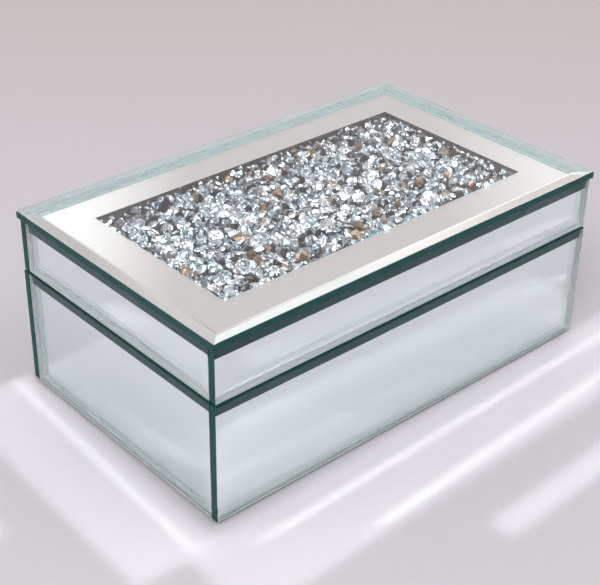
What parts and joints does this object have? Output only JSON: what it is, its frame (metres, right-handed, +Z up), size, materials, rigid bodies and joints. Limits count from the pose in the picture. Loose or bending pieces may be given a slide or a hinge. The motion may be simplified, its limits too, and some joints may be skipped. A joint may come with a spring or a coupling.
{
  "type": "vanity trinket box",
  "caption": "Rectangular mirrored-glass trinket box with bevelled panes, velvet lining and a hinged lid whose clear window shows a tray of loose crystals.",
  "frame": {"origin": "centre of the underside, on the surface that the box stands on", "axes": "+X along the length to the right of the front, +Y from the front to the hinges at the back, +Z up"},
  "size_m": [0.25, 0.1573, 0.098],
  "materials": {
    "mirror_pane": "silvered 4 mm float glass with bevelled face and green ground edges",
    "window_pane": "4 mm float glass, bevelled, silvered underneath round a clear window",
    "crystal": "faceted, foiled, mostly clear silver with amber and smoke ones among them",
    "board": "fibreboard painted matt black",
    "tray": "dark mirror-grey film over board",
    "velvet": "short-pile charcoal velvet over card",
    "felt": "black needle felt",
    "bumper": "clear soft silicone",
    "hinge_leaf": "nickel plated",
    "hinge_pin": "drawn wire",
    "screw": "nickel plated, cross recess"
  },
  "bodies": {
    "box": {"base_felt": "felt", "base_board": "board", "body_front_board": "board", "body_back_board": "board", "body_left_board": "board", "body_right_board": "board", "body_front_glass": "mirror_pane", "body_back_glass": "mirror_pane", "body_left_glass": "mirror_pane", "body_right_glass": "mirror_pane", "floor_lining": "velvet", "front_lining": "velvet", "back_lining": "velvet", "left_lining": "velvet", "right_lining": "velvet", "bumper_dots": "bumper", "left_hinge_lower_leaf": "hinge_leaf", "left_hinge_pin": "hinge_pin", "right_hinge_lower_leaf": "hinge_leaf", "right_hinge_pin": "hinge_pin", "lower_leaf_screws": "screw"},
    "lid": {"lid_front_rail": "board", "lid_back_rail": "board", "lid_left_rail": "board", "lid_right_rail": "board", "lid_front_glass": "mirror_pane", "lid_back_glass": "mirror_pane", "lid_left_glass": "mirror_pane", "lid_right_glass": "mirror_pane", "top_glass": "window_pane", "tray_frame": "tray", "tray_floor": "tray", "crystals": "crystal", "lid_lining": "velvet", "left_hinge_upper_leaf": "hinge_leaf", "right_hinge_upper_leaf": "hinge_leaf", "upper_leaf_screws": "screw"}
  },
  "joints": [
    {"name": "lid_hinge", "type": "hinge", "parent": "box", "child": "lid", "pos_m": [0, 0.0778, 0.0654], "axis": [-1, 0, 0], "range_deg": [0, 95]}
  ]
}
